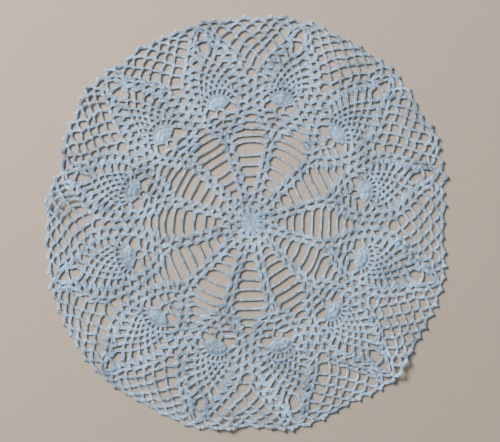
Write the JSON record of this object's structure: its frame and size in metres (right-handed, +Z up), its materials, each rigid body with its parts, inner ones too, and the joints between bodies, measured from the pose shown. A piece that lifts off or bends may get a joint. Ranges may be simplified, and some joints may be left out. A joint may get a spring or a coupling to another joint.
{
  "type": "lace doily",
  "caption": "Round crocheted lace doily with a spoked middle, ladder windows, a ring of pineapple motifs, net fans and a scalloped picot rim, lying flat on a table.",
  "frame": {"origin": "underside of the sheet, at the middle of the centre rosette", "axes": "+Z up out of the lace's face; +X and +Y run along two ladder windows, with +Y away from the viewer"},
  "size_m": [0.3635, 0.373, 0.0057],
  "materials": {
    "thread": "matt white cotton thread with a faint blue-grey cast, crocheted"
  },
  "bodies": {
    "root": {"doily": "thread"}
  },
  "joints": []
}
